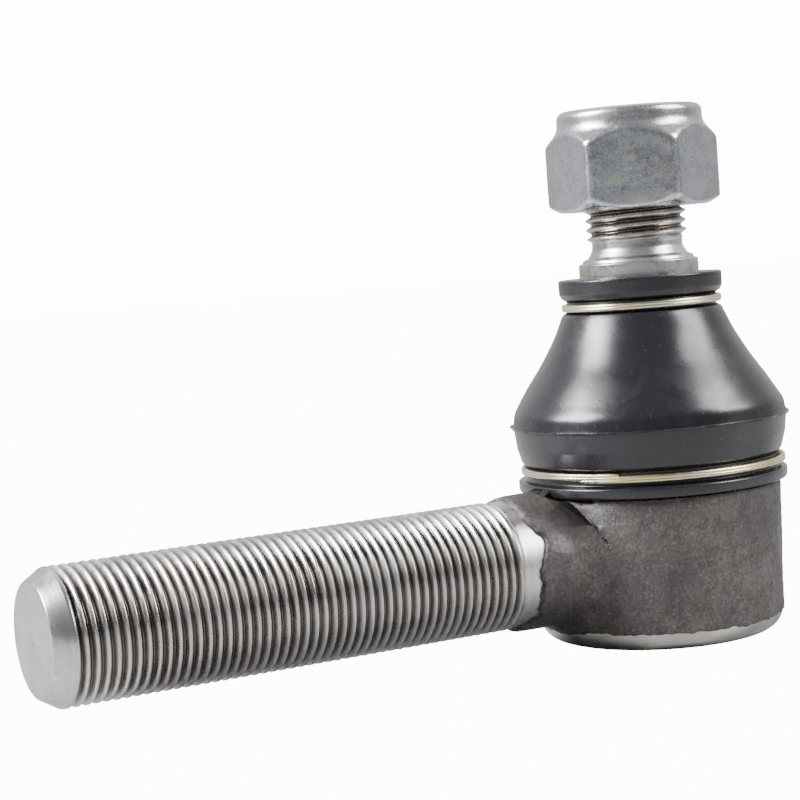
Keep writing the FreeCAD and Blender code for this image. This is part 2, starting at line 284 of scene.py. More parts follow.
def between(tree, value, low, high, to_low=0.0, to_high=1.0):
    """A value eased from one range to another and held at its ends."""
    values = {"Value": value, "From Min": low, "From Max": high, "To Min": to_low, "To Max": to_high}
    return add(tree, "ShaderNodeMapRange", values, interpolation_type="SMOOTHSTEP").outputs[0]


def mixed(tree, share, first, second):
    """One colour laid over another."""
    node = add(tree, "ShaderNodeMix", data_type="RGBA")
    for slot, value in ((0, share), (6, first), (7, second)):
        if isinstance(value, bpy.types.NodeSocket):
            tree.links.new(value, node.inputs[slot])
        else:
            node.inputs[slot].default_value = value
    return node.outputs[2]


def group_of(name, inputs, outputs):
    """An empty shader group with named number inputs and outputs."""
    tree = bpy.data.node_groups.new(name, "ShaderNodeTree")
    for label, value in inputs.items():
        socket = tree.interface.new_socket(label, in_out="INPUT", socket_type="NodeSocketFloat")
        socket.default_value = value
    for label in outputs:
        tree.interface.new_socket(label, in_out="OUTPUT", socket_type="NodeSocketFloat")
    return tree, tree.nodes.new("NodeGroupInput"), tree.nodes.new("NodeGroupOutput")


def in_millimetres(tree):
    """The position on the part in millimetres."""
    place = add(tree, "ShaderNodeTexCoord").outputs["Object"]
    scaled = {0: place, "Scale": 1 / MM}
    return add(tree, "ShaderNodeVectorMath", scaled, operation="SCALE").outputs[0]


def noise_at(tree, place, size, detail=3.0, rough=0.55, twist=0.0):
    """Noise whose blots are about one size across, from 0 to 1."""
    per = math_of(tree, "DIVIDE", 1.0, size)
    values = {"Vector": place, "Scale": per, "Detail": detail, "Roughness": rough, "Distortion": twist}
    return add(tree, "ShaderNodeTexNoise", values).outputs[0]


# Mottling: slow blots, a finer grain over them and sparse bright specks where scale has flaked off.
mottling, given, gives = group_of(
    "Mottling", {"Blot": 4.0, "Grain": 0.5, "Speck": 0.35}, ("Blots", "Grain", "Specks", "Relief"))
place = in_millimetres(mottling)
blots = noise_at(mottling, place, given.outputs["Blot"], 4.0, 0.6, 0.4)
grain = noise_at(mottling, place, given.outputs["Grain"], 5.0, 0.65)
flakes = noise_at(mottling, place, given.outputs["Speck"], 2.0, 0.5)
flaked = between(mottling, flakes, 0.62, 0.72)
specks = math_of(mottling, "MULTIPLY", flaked, between(mottling, blots, 0.42, 0.6))
slow_relief = math_of(mottling, "MULTIPLY", blots, 0.6)
relief = math_of(mottling, "ADD", slow_relief, math_of(mottling, "MULTIPLY", grain, 0.5))
for label, value in (("Blots", blots), ("Grain", grain), ("Specks", specks), ("Relief", relief)):
    mottling.links.new(value, gives.inputs[label])

# Worn edges: a mask of the sharper outward edges, broken up so that it is never an even line.
worn_edges, given, gives = group_of("Worn edges", {"From": 0.52, "To": 0.6, "Break": 1.2}, ("Mask",))
edge = add(worn_edges, "ShaderNodeNewGeometry").outputs["Pointiness"]
broken = noise_at(worn_edges, in_millimetres(worn_edges), given.outputs["Break"], 3.0, 0.6)
uneven = math_of(worn_edges, "MULTIPLY_ADD", broken, 0.08, -0.04)
sharpness = math_of(worn_edges, "ADD", edge, uneven)
mask = between(worn_edges, sharpness, given.outputs["From"], given.outputs["To"])
worn_edges.links.new(mask, gives.inputs["Mask"])


def grouped(tree, group, **values):
    """A group placed in a material with its own values."""
    return add(tree, "ShaderNodeGroup", values, node_tree=group).outputs


def finish(name, **sockets):
    """A new material: its node tree and its Principled shader, with even values set on the shader."""
    material = bpy.data.materials.new(name)
    material.use_nodes = True
    shader = material.node_tree.nodes["Principled BSDF"]
    for socket, value in sockets.items():
        shader.inputs[socket.replace("_", " ")].default_value = value
    return material, material.node_tree, shader


def embossed(tree, shader, height, depth):
    """Bump of that depth in millimetres on the shader's normal."""
    values = {"Height": height, "Distance": depth * MM, "Strength": 1.0}
    tree.links.new(add(tree, "ShaderNodeBump", values).outputs[0], shader.inputs["Normal"])


def patch(tree, place, centre, size):
    """A soft round patch of that size about a point, from 0 outside to 1 within."""
    apart = add(tree, "ShaderNodeVectorMath", {0: place, 1: centre}, operation="DISTANCE")
    return between(tree, apart.outputs["Value"], size * 1.15, size * 0.35)


forged_skin, tree, shader = finish("forged_skin", Metallic=0.6)
blot, grain, speck, relief = grouped(tree, mottling, Blot=3.2, Grain=0.5, Speck=0.42)
place = in_millimetres(tree)
slow = noise_at(tree, place, 14.0, 2.0)
colour = mixed(tree, between(tree, blot, 0.3, 0.7), (0.062, 0.054, 0.052, 1), (0.102, 0.092, 0.088, 1))
colour = mixed(tree, between(tree, grain, 0.42, 0.72, 0.0, 0.5), colour, (0.2, 0.19, 0.178, 1))
colour = mixed(tree, between(tree, slow, 0.4, 0.62, 0.0, 0.5), colour, (0.05, 0.046, 0.046, 1))

# bare metal where the neck has been rubbed, and where scale has flaked off
top_rub = patch(tree, place, (-17.4, -10.6, 7.6), 2.6)
side_rub = patch(tree, place, (-24.4, -9.9, 3.9), 2.3)
rub = math_of(tree, "MAXIMUM", top_rub, side_rub)
rubbed = math_of(tree, "MULTIPLY", rub, between(tree, noise_at(tree, place, 0.9, 5.0, 0.75), 0.36, 0.68))
flaked = math_of(tree, "MULTIPLY", speck, 0.3)
bright = math_of(tree, "MAXIMUM", flaked, math_of(tree, "MULTIPLY", rubbed, 0.36))
colour = mixed(tree, bright, colour, (0.36, 0.36, 0.41, 1))

# painted shade: the undercut below the boot darkened almost to black; painted highlight: a thin bright line
# along its edge
spot = add(tree, "ShaderNodeSeparateXYZ", {0: place}).outputs
flat_place = add(tree, "ShaderNodeCombineXYZ", {0: spot[0], 1: spot[1]}).outputs[0]
out = add(tree, "ShaderNodeVectorMath", {0: flat_place}, operation="LENGTH").outputs["Value"]
high = between(tree, spot[2], UNDERCUT - 0.1, UNDERCUT + 0.35)
cut = math_of(tree, "MULTIPLY", high, between(tree, out, EYE_TOP_RADIUS + 0.32, EYE_TOP_RADIUS + 0.5))
cut = math_of(tree, "MULTIPLY", cut, between(tree, out, BOOT_SEAT_RADIUS + 1.6, BOOT_SEAT_RADIUS + 0.1))
# painted shade: the undercut's darkness is put into the colour
colour = mixed(tree, math_of(tree, "MULTIPLY", cut, 0.9), colour, (0.012, 0.01, 0.009, 1))
# painted highlight: a thin bright line along the undercut's edge on the neck side
off = math_of(tree, "ABSOLUTE", math_of(tree, "SUBTRACT", out, EYE_TOP_RADIUS + 0.22))
ridge = math_of(tree, "MULTIPLY", high, between(tree, off, 0.1, 0.04))
ridge = math_of(tree, "MULTIPLY", ridge, between(tree, spot[0], -16.5, -18.0))
colour = mixed(tree, math_of(tree, "MULTIPLY", ridge, 0.9), colour, (0.7, 0.7, 0.72, 1))

# painted shade: a mottled dark patch on the neck where it meets the eye
neck_shade_patch = patch(tree, place, (-22.2, -7.6, 6.4), 4.2)
neck_painted_shade = math_of(tree, "MULTIPLY", neck_shade_patch, between(tree, blot, 0.3, 0.6, 0.45, 0.8))
colour = mixed(tree, neck_painted_shade, colour, (0.02, 0.017, 0.016, 1))
tree.links.new(colour, shader.inputs["Base Color"])
tree.links.new(between(tree, relief, 0.3, 0.8, 0.62, 0.42), shader.inputs["Roughness"])
embossed(tree, shader, relief, 0.3)
forging.data.materials.clear()
forging.data.materials.append(forged_skin)
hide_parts("housing")
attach(forging, "eye")

# ---------------------------------------------------------------- turned socket of the housing
# The bore, the upstand that holds the boot and the lower lip are turned bright in one chucking. The
# lip is rolled inwards over the closing cover, which leaves fine rings round it.

UPSTAND_RADIUS = 18.0
UPSTAND_TOP = 13.7
LIP_LOW = -14.6
LIP_ROUND = 3.3
LIP_CENTRE = 16.15
LIP_MOUTH = 14.0
SHELL_RADIUS = 17.7
RING_GROOVE = 17.3
BORE_RADIUS = 15.5
COVER_SEAT = 16.6
COVER_HIGH = -12.0
COVER_LOW = -13.5


def eased(corners, steps=6):
    """An outline with each corner (radius, height, ease) rounded by its ease; closed all round."""
    made = []
    count = len(corners)
    for index, corner in enumerate(corners):
        at = np.array(corner[:2], float)
        ease = corner[2] if len(corner) > 2 else 0
        if not ease:
            made.append(tuple(at))
            continue
        before = np.array(corners[index - 1][:2], float) - at
        after = np.array(corners[(index + 1) % count][:2], float) - at
        reach_before, reach_after = np.linalg.norm(before), np.linalg.norm(after)
        before, after = before / reach_before, after / reach_after
        half = math.acos(np.clip(before @ after, -1, 1)) / 2
        cut = min(ease / math.tan(half), 0.48 * reach_before, 0.48 * reach_after)
        for step in range(steps + 1):
            share = step / steps
            curve = (1 - share) ** 2 * (at + before * cut) + 2 * share * (1 - share) * at
            made.append(tuple(curve + share**2 * (at + after * cut)))
    return made


def spaced(outline, longest, closed=True):
    """The outline with no run longer than that, so that shading and wear have points to hold."""
    made = []
    count = len(outline)
    for index in range(count if closed else count - 1):
        start, end = np.array(outline[index]), np.array(outline[(index + 1) % count])
        pieces = max(1, math.ceil(np.linalg.norm(end - start) / longest))
        made += [tuple(start + (end - start) * part / pieces) for part in range(pieces)]
    return made if closed else made + [tuple(outline[-1])]


def turned_ring(name, corners, sides, longest=1.5):
    """A closed ring turned to an outline that runs anticlockwise in (radius, height)."""
    outline = spaced(eased(corners), longest)
    faces = ring_faces(len(outline), sides, closed=True)
    return smoothed(made_of(name, spun(outline, sides), faces))


rolled = [
    (LIP_CENTRE + LIP_ROUND * math.cos(turn), LIP_LOW + LIP_ROUND * (1 - math.sin(turn)))
    for turn in np.linspace(math.pi / 2, 0, 14)
]
socket_outline = [
    (LIP_MOUTH, LIP_LOW, 0.3), *rolled, (19.42, -10.2), (SHELL_RADIUS, -9.9), (SHELL_RADIUS, EYE_TOP),
    (UPSTAND_RADIUS, EYE_TOP), (UPSTAND_RADIUS, 11.9, 0.15), (RING_GROOVE, 11.9, 0.1),
    (RING_GROOVE, 13.3, 0.1), (UPSTAND_RADIUS, 13.3, 0.1), (UPSTAND_RADIUS, UPSTAND_TOP, 0.2),
    (13.6, UPSTAND_TOP, 0.3), (10.4, 6.0, 0.3), (BORE_RADIUS, 6.0), (BORE_RADIUS, COVER_HIGH),
    (COVER_SEAT, COVER_HIGH), (COVER_SEAT, COVER_LOW), (LIP_MOUTH, COVER_LOW, 0.2),
]
turned_socket = turned_ring("housing_turned_socket", socket_outline, 160)

# Lathe marks: uneven rings along one direction of the part, given as a length in millimetres.
lathe_marks, given, gives = group_of("Lathe marks", {"Along": 0.0, "Spacing": 0.25}, ("Shade", "Relief"))
step = math_of(lathe_marks, "DIVIDE", given.outputs["Along"], given.outputs["Spacing"])
drift = noise_at(lathe_marks, in_millimetres(lathe_marks), 6.0, 2.0)
wandering = {0: step, 1: math_of(lathe_marks, "MULTIPLY", drift, 1.5)}
line = add(lathe_marks, "ShaderNodeCombineXYZ", wandering).outputs[0]
close = {"Vector": line, "Scale": 1.0, "Detail": 3.0}
rings = add(lathe_marks, "ShaderNodeTexNoise", close).outputs[0]
wide = {"Vector": line, "Scale": 0.17, "Detail": 1.0}
bands = add(lathe_marks, "ShaderNodeTexNoise", wide).outputs[0]
half_rings = math_of(lathe_marks, "MULTIPLY", rings, 0.5)
shade = math_of(lathe_marks, "ADD", half_rings, math_of(lathe_marks, "MULTIPLY", bands, 0.5))
lathe_marks.links.new(shade, gives.inputs["Shade"])
lathe_marks.links.new(rings, gives.inputs["Relief"])

# Handling: dull smears left by fingers and oil, and fine scratches that cross each other.
handling, given, gives = group_of("Handling", {"Smear": 7.0, "Scratch": 1.0}, ("Smears", "Scratches"))
place = in_millimetres(handling)
smears = between(handling, noise_at(handling, place, given.outputs["Smear"], 4.0, 0.6, 0.8), 0.35, 0.7)
drawn_out = {"Vector": place, "Rotation": (0.4, 0.9, 0.3), "Scale": (0.25, 4.0, 1.0)}
stretch = add(handling, "ShaderNodeMapping", drawn_out).outputs[0]
thin = noise_at(handling, stretch, given.outputs["Scratch"], 2.0, 0.4)
off_line = math_of(handling, "ABSOLUTE", math_of(handling, "SUBTRACT", thin, 0.5))
scratches = between(handling, off_line, 0.02, 0.0)
handling.links.new(smears, gives.inputs["Smears"])
handling.links.new(scratches, gives.inputs["Scratches"])


def bright_steel(name, tint, dull, rough_low, rough_high, axis, spacing, depth):
    """Bare turned steel with smears and scratches, its rings along X, along Z or out from Z."""
    material, tree, shader = finish(name, Metallic=1.0)
    spot = add(tree, "ShaderNodeSeparateXYZ", {0: in_millimetres(tree)}).outputs
    along = {"X": spot[0], "Z": spot[2]}.get(axis)
    if along is None:
        squares = [math_of(tree, "POWER", value, 2.0) for value in (spot[0], spot[1])]
        along = math_of(tree, "SQRT", math_of(tree, "ADD", *squares))
    shade, ridge = grouped(tree, lathe_marks, Along=along, Spacing=spacing)
    smear, scratch = grouped(tree, handling, Smear=6.0, Scratch=0.8)
    worn = grouped(tree, worn_edges, From=0.54, To=0.64, Break=0.6)[0]
    tone = math_of(tree, "MULTIPLY_ADD", smear, 0.22, math_of(tree, "MULTIPLY", shade, 0.78), clamp=True)
    colour = mixed(tree, between(tree, tone, 0.2, 0.75), dull, tint)
    colour = mixed(tree, math_of(tree, "MULTIPLY", worn, 0.4), colour, (0.9, 0.9, 0.9, 1))
    tree.links.new(colour, shader.inputs["Base Color"])
    dulled = math_of(tree, "ADD", smear, math_of(tree, "MULTIPLY", scratch, 0.3))
    tree.links.new(between(tree, dulled, 0.0, 1.2, rough_low, rough_high), shader.inputs["Roughness"])
    embossed(tree, shader, ridge, depth)
    return material, tree, shader, colour


turned_steel = bright_steel(
    "turned_steel", (0.6, 0.59, 0.56, 1), (0.34, 0.33, 0.31, 1), 0.28, 0.42, "Z", 0.22, 0.012)[0]
turned_socket.data.materials.append(turned_steel)
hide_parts("housing")
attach(turned_socket, "eye")

# ---------------------------------------------------------------- threaded shank
# The shank is turned from the same forging and its thread is rolled, right hand, 20 mm by 1.5 mm. A
# short plain collar is left before the forged neck, and the end is bevelled and faced.

PITCH = 1.5
CREST_RADIUS = 10.0
ROOT_RADIUS = 9.14
COLLAR_RADIUS = 9.8
SHANK_THREAD_START = 30.7
SHANK_THREAD_END = 102.0
SHANK_END = 104.9
SHANK_BURIED = 14.0
BEVEL_RADIUS = 8.3
MARK_RADIUS = 0.8
NEAR_AXIS = 0.02
TOOTH = (0.0, 0.045, 0.1, 0.25, 0.4, 0.455, 0.545, 0.6, 0.75, 0.9, 0.955)


def groove_depth(phase):
    """How far below the crest the thread is, from 0 at the crest to 1 at the root."""
    off = np.abs((phase + 0.5) % 1 - 0.5)
    flank = np.clip((off - 0.075) / 0.345, 0, 1)
    rounding = np.clip((off - 0.03) / 0.12, 0, 1) ** 2 * 0.12
    return np.clip(np.maximum(flank, rounding), 0, 1)


def threaded(name, before, start, end, after, crest, root, begin, sides, inward=False):
    """A screwed rod about Z: plain rings, one right hand thread from start to end, plain rings.

    before and after are outlines of (radius, height); crest(height) is the radius that is left on the
    crests, and begin(height) is how much of the thread is formed, from 0 to 1. The groove attribute
    is how deep in the thread a point lies, for painted shade and grime in the roots.
    """
    turn = np.arange(sides) * 2 * math.pi / sides
    share = np.arange(sides) / sides
    rounds = math.ceil((end - start) / PITCH) + 1
    steps = [lap - 1 + part for lap in range(rounds) for part in TOOTH] + [rounds - 1]
    rows = [np.tile(point, (sides, 1)) for point in np.array(before, float)]
    for step in steps:
        height = np.clip(start + PITCH * (step + share), start, end)
        phase = (height - start) / PITCH - share
        top = crest(height)
        depth = groove_depth(phase) * begin(height)
        rows.append(np.stack([top - (top - root) * depth, height], axis=1))
    rows += [np.tile(point, (sides, 1)) for point in np.array(after, float)]
    table = np.stack(rows)
    radius, height = table[..., 0], table[..., 1]
    points = np.stack([radius * np.cos(turn), radius * np.sin(turn), height], axis=2)
    first, last, jump = len(before), len(before) + len(steps) - 1, len(TOOTH)
    faces = []
    for row in range(len(rows) - 1):
        spiral = first <= row < last
        for side in range(sides):
            after_side = (side + 1) % sides
            low, high = row, row + 1
            if spiral and after_side == 0:
                low, high = min(low + jump, last), min(high + jump, last)
            face = (row * sides + side, low * sides + after_side,
                    high * sides + after_side, (row + 1) * sides + side)
            faces.append(face[::-1] if inward else face)
    piece = made_of(name, points.reshape(-1, 3), faces)
    depths = np.zeros(len(rows) * sides)
    below = radius - crest(height) if inward else crest(height) - radius
    cut = np.clip(below / (CREST_RADIUS - ROOT_RADIUS), 0, 1)
    inside = slice(first * sides, (last + 1) * sides)
    depths[inside] = cut.ravel()[inside]
    groove = piece.data.attributes.new("groove", "FLOAT", "POINT")
    groove.data.foreach_set("value", depths.astype(np.float32))
    return piece


def closed_up(piece):
    """Merges the points that a thread's ends share and turns every face outwards."""
    shape = bmesh.new()
    shape.from_mesh(piece.data)
    bmesh.ops.remove_doubles(shape, verts=shape.verts, dist=0.002 * MM)
    bmesh.ops.dissolve_degenerate(shape, edges=shape.edges, dist=0.001 * MM)
    bmesh.ops.recalc_face_normals(shape, faces=shape.faces)
    shape.to_mesh(piece.data)
    shape.free()
    return piece


def shank_crest(height):
    """The plain collar is a little under the crests, which rise from it within half a millimetre."""
    share = np.clip((height - SHANK_THREAD_START) / 0.5, 0, 1)
    return np.minimum(COLLAR_RADIUS + (CREST_RADIUS - COLLAR_RADIUS) * share, CREST_RADIUS)


def shank_begin(height):
    """The rolls bite within a turn of the collar and let go within a turn of the bevel."""
    bite = np.clip((height - SHANK_THREAD_START - 0.1) / 0.6, 0, 1)
    leave = np.clip((SHANK_THREAD_END - 0.1 - height) / 0.7, 0, 1)
    return bite * leave


shank_tail = spaced(eased([
    (CREST_RADIUS, SHANK_THREAD_END), (9.92, 102.3, 0.3), (BEVEL_RADIUS, SHANK_END, 0.35),
    (MARK_RADIUS, SHANK_END - 0.02, 0.2), (0.6, SHANK_END - 0.12, 0.1), (NEAR_AXIS, SHANK_END - 0.18),
]), 0.8, closed=False)
shank_head = spaced([
    (NEAR_AXIS, SHANK_BURIED), (9.6, SHANK_BURIED), (9.6, 18.0), (COLLAR_RADIUS, 27.0),
    (COLLAR_RADIUS, SHANK_THREAD_START),
], 0.8, closed=False)
shank = threaded(
    "housing_threaded_shank", shank_head[:-1], SHANK_THREAD_START, SHANK_THREAD_END, shank_tail[1:],
    shank_crest, ROOT_RADIUS, shank_begin, 144)
lay_down = Matrix.Rotation(math.radians(-90), 4, "Y") @ Matrix.Rotation(math.radians(90), 4, "Z")
shank.data.transform(lay_down)
smoothed(closed_up(shank), 50)

rolled_thread, tree, shader, colour = bright_steel(
    "rolled_thread", (0.6, 0.59, 0.59, 1), (0.38, 0.37, 0.36, 1), 0.27, 0.4, "X", 0.3, 0.006)
groove = add(tree, "ShaderNodeAttribute", attribute_name="groove").outputs["Fac"]
blots = grouped(tree, mottling, Blot=5.0, Grain=0.5, Speck=0.4)[0]
# painted shade and grime: the thread's roots darkened by their depth, broken up by blots
root_shade_and_grime = math_of(tree, "ADD", groove, math_of(tree, "MULTIPLY_ADD", blots, 0.5, -0.25))
colour = mixed(tree, between(tree, root_shade_and_grime, 0.12, 0.7, 0.0, 0.72), colour, (0.17, 0.155, 0.145, 1))
colour = mixed(tree, between(tree, root_shade_and_grime, 0.5, 1.0, 0.0, 0.8), colour, (0.07, 0.055, 0.045, 1))
tree.links.new(colour, shader.inputs["Base Color"])
shank.data.materials.append(rolled_thread)
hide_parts("housing")
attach(shank, "eye")

# ---------------------------------------------------------------- ball seats, spring and cover
# Two moulded plastic seats hold the ball, a disc spring under the lower one takes up their wear, and
# a pressed steel cover closes the socket. They are the drawn parts themselves, with their finishes.

seat_plastic, tree, shader = finish("seat_plastic", Roughness=0.45)
blot, _, _, relief = grouped(tree, mottling, Blot=3.0, Grain=0.3, Speck=0.3)
colour = mixed(tree, blot, (0.62, 0.6, 0.54, 1), (0.75, 0.73, 0.67, 1))
tree.links.new(colour, shader.inputs["Base Color"])
embossed(tree, shader, relief, 0.02)

spring_steel = bright_steel(
    "spring_steel", (0.4, 0.36, 0.3, 1), (0.22, 0.2, 0.18, 1), 0.28, 0.45, "out", 0.35, 0.01)[0]
cover_steel = bright_steel(
    "cover_steel", (0.5, 0.49, 0.46, 1), (0.26, 0.255, 0.24, 1), 0.3, 0.48, "out", 0.4, 0.02)[0]
for name, material in (("upper_ball_seat", seat_plastic), ("lower_ball_seat", seat_plastic),
                       ("preload_spring", spring_steel), ("closing_cover", cover_steel)):
    nodes[name].data.materials.clear()
    nodes[name].data.materials.append(material)

# ---------------------------------------------------------------- ball stud
# Turned and ground from one bar of alloy steel: ball, waist, tapered seat for the steering arm, a
# shoulder, a hollow to relieve the thread and a rolled thread, right hand, 16 mm by 1.5 mm.

BALL_RADIUS = 11.5
BALL_FLAT = 10.3
WAIST_RADIUS = 6.6
SHOULDER_RADIUS = 9.5
STUD_THREAD_START = 48.3
STUD_THREAD_END = 66.5
STUD_RADIUS = 8.0
STUD_ROOT = 7.16
STUD_END = 67.2

ball_start = math.acos(BALL_FLAT / BALL_RADIUS)
ball_stop = math.pi - math.asin(WAIST_RADIUS / BALL_RADIUS)
ball = [
    (BALL_RADIUS * math.sin(turn), -BALL_RADIUS * math.cos(turn))
    for turn in np.linspace(ball_start, ball_stop, 44)
]
stud_low = spaced(eased([
    (NEAR_AXIS, -BALL_FLAT), *ball, (WAIST_RADIUS, 18.5, 1.6), (10.47, 23.5, 0.8), (SHOULDER_RADIUS, 42.9),
    (SHOULDER_RADIUS, 45.05, 0.18), (8.9, 45.2, 0.12), (8.75, 45.62, 0.12), (7.9, 46.0, 0.5),
    (STUD_ROOT + 0.06, 47.2, 1.2), (STUD_ROOT, STUD_THREAD_START),
]), 0.7, closed=False)
stud_high = spaced(eased([
    (STUD_RADIUS, STUD_THREAD_END), (7.2, STUD_END, 0.3), (1.2, STUD_END, 0.1), (NEAR_AXIS, STUD_END - 0.6),
]), 0.7, closed=False)


def stud_crest(height):
    """The crests rise out of the relief hollow within half a turn."""
    return STUD_ROOT + (STUD_RADIUS - STUD_ROOT) * np.clip((height - STUD_THREAD_START) / 0.7, 0, 1)


def stud_begin(height):
    """The thread fades just before the end of the stud."""
    return np.clip((STUD_THREAD_END - height) / 0.5, 0, 1)


stud = threaded(
    "ball_stud_body", stud_low[:-1], STUD_THREAD_START, STUD_THREAD_END, stud_high[1:],
    stud_crest, STUD_ROOT, stud_begin, 96)
smoothed(closed_up(stud), 50)

stud_steel, tree, shader, colour = bright_steel(
    "stud_steel", (0.6, 0.59, 0.58, 1), (0.36, 0.35, 0.345, 1), 0.22, 0.36, "Z", 0.25, 0.01)
groove = add(tree, "ShaderNodeAttribute", attribute_name="groove").outputs["Fac"]
blots = grouped(tree, mottling, Blot=2.0, Grain=0.4, Speck=0.4)[0]
# painted shade and grime: the stud thread's roots darkened brown by their depth, broken up by blots
root_shade_and_grime = math_of(tree, "ADD", groove, math_of(tree, "MULTIPLY_ADD", blots, 0.6, -0.3))
root_shade_and_stain = between(tree, root_shade_and_grime, 0.35, 0.9)
colour = mixed(tree, math_of(tree, "MULTIPLY", root_shade_and_stain, 0.9), colour, (0.08, 0.055, 0.035, 1))
tree.links.new(colour, shader.inputs["Base Color"])
stud.data.materials.append(stud_steel)
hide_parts("ball_stud")
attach(stud, "stud")

# ---------------------------------------------------------------- dust boot
# One moulding of black rubber packed with grease. It is made here in two halves that meet on one circle.

BOOT_WALL = 1.8
BOOT_SPLIT = 21.0
FLASH_RADIUS = 21.98
foot = [
    (18.3, 9.5, 0.2), (21.4, 9.5, 0.5), (21.45, 11.15, 0.35), (20.2, 11.45, 0.25), (20.02, 13.5, 0.3),
    (20.7, 14.2, 0.8), (21.4, 16.6, 1.4), (21.75, 19.3), (21.78, 19.58, 0.05), (FLASH_RADIUS, 19.7, 0.04),
    (FLASH_RADIUS, 19.9, 0.04), (21.8, 20.02, 0.05),
]


def drawn_through(knots, steps):
    """A smooth line through knots of (radius, height)."""
    made = []
    padded = [knots[0], *knots, knots[-1]]
    for before, start, end, after in zip(padded, padded[1:], padded[2:], padded[3:]):
        before, start, end, after = (np.array(knot[:2], float) for knot in (before, start, end, after))
        for step in range(steps):
            t = step / steps
            once = (end - before) * t
            twice = (2 * before - 5 * start + 4 * end - after) * t**2
            thrice = (3 * start - before - 3 * end + after) * t**3
            made.append(tuple(0.5 * (2 * start + once + twice + thrice)))
    return made + [tuple(knots[-1][:2])]


cone = drawn_through([
    (21.72, 20.3), (21.4, 22.0), (20.3, 23.9), (18.98, 26.0), (16.5, 29.7), (14.35, 33.5), (12.85, 36.8),
], 6)
lower_cone = [knot for knot in cone if knot[1] < BOOT_SPLIT - 0.2]
upper_cone = [knot for knot in cone if knot[1] > BOOT_SPLIT + 0.2]
edge_low, edge_high = np.array(lower_cone[-1]), np.array(upper_cone[0])
share = (BOOT_SPLIT - edge_low[1]) / (edge_high[1] - edge_low[1])
seam = tuple(edge_low + (edge_high - edge_low) * share)
seam_inner = (seam[0] - BOOT_WALL, BOOT_SPLIT - 0.6)
inner_low = [(20.0, 19.4), (19.4, 16.6), (18.9, 14.9), (18.35, 14.1)]
lower_outline = spaced(eased(foot) + lower_cone + [seam, seam_inner] + inner_low, 0.5)
lip = [
    (12.55, 37.3, 0.3), (11.85, 37.6, 0.25), (11.8, 39.3, 0.3), (12.55, 39.75, 0.3), (12.95, 40.5, 0.35),
    (13.0, 42.8, 0.35), (12.0, 42.75, 0.3), (9.85, 42.65, 0.25), (10.2, 40.4, 0.4), (10.3, 37.9, 0.4),
]
inner_high = [(12.6, 33.3), (14.75, 29.5), (17.2, 25.7), (19.0, 22.9)]
upper_outline = spaced(eased([*upper_cone, *lip, *inner_high, seam_inner, seam]), 0.5)


def boot_half(name, outline, sides=180):
    """One half of the boot, with the slow unevenness of a moulding pulled warm from its tool."""
    points = spun(outline, sides)
    uneven = []
    for point in points:
        at = Vector(point)
        out = math.hypot(at.x, at.y)
        swell = 0.11 * noise.noise(at / 9.0) + 0.03 * noise.noise(at / 3.0)
        flash = 0
        if out > 21.85 and 19.5 < at.z < 20.1:
            flash = max(-0.1, 0.24 + 0.34 * noise.noise(at / 4.0) + 0.26 * noise.noise(at / 0.9))
        uneven.append(1 + (swell + flash) / out)
    points[:, :2] *= np.array(uneven)[:, None]
    return smoothed(made_of(name, points, ring_faces(len(outline), sides, closed=True)), 40)


boot_low = boot_half("dust_boot_lower", lower_outline)
boot_high = boot_half("dust_boot_upper", upper_outline)

# Dust: pale specks and a faint film that settle on soft or oily surfaces.
dust, given, gives = group_of("Dust", {"Size": 0.5, "Film": 8.0}, ("Specks", "Film"))
place = in_millimetres(dust)
flecks = between(dust, noise_at(dust, place, given.outputs["Size"], 1.0, 0.4), 0.7, 0.78)
film = between(dust, noise_at(dust, place, given.outputs["Film"], 4.0, 0.6, 0.5), 0.4, 0.75)
dust.links.new(flecks, gives.inputs["Specks"])
dust.links.new(film, gives.inputs["Film"])

boot_rubber, tree, shader = finish("boot_rubber", Specular_IOR_Level=0.6, Specular_Tint=(0.95, 0.95, 1.0, 1))
fleck, film = grouped(tree, dust, Size=0.45, Film=7.0)
blot, _, _, relief = grouped(tree, mottling, Blot=6.0, Grain=0.35, Speck=0.4)
colour = mixed(tree, blot, (0.0058, 0.0052, 0.0074, 1), (0.0095, 0.0088, 0.0116, 1))
colour = mixed(tree, math_of(tree, "MULTIPLY", film, 0.08), colour, (0.035, 0.035, 0.04, 1))
colour = mixed(tree, math_of(tree, "MULTIPLY", fleck, 0.12), colour, (0.2, 0.2, 0.21, 1))
tree.links.new(colour, shader.inputs["Base Color"])
tree.links.new(between(tree, film, 0.0, 1.0, 0.26, 0.33), shader.inputs["Roughness"])
embossed(tree, shader, relief, 0.02)
for half, bodies, start, end in (
        (boot_low, ("eye", "boot"), 14.0, BOOT_SPLIT), (boot_high, ("boot", "boot_top"), BOOT_SPLIT, 33.5)):
    half.data.materials.append(boot_rubber)
    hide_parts("dust_boot")
    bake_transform(half)

# ---------------------------------------------------------------- wire rings
# Two turns of hard drawn wire, sprung into the boot's grooves. The ends are cropped square and the
# thin passivation is a little yellow on the upper one.

WIRE_RADIUS = 0.42
WIRE_STEP = 0.8
SLACK_SIDE = math.radians(-35)


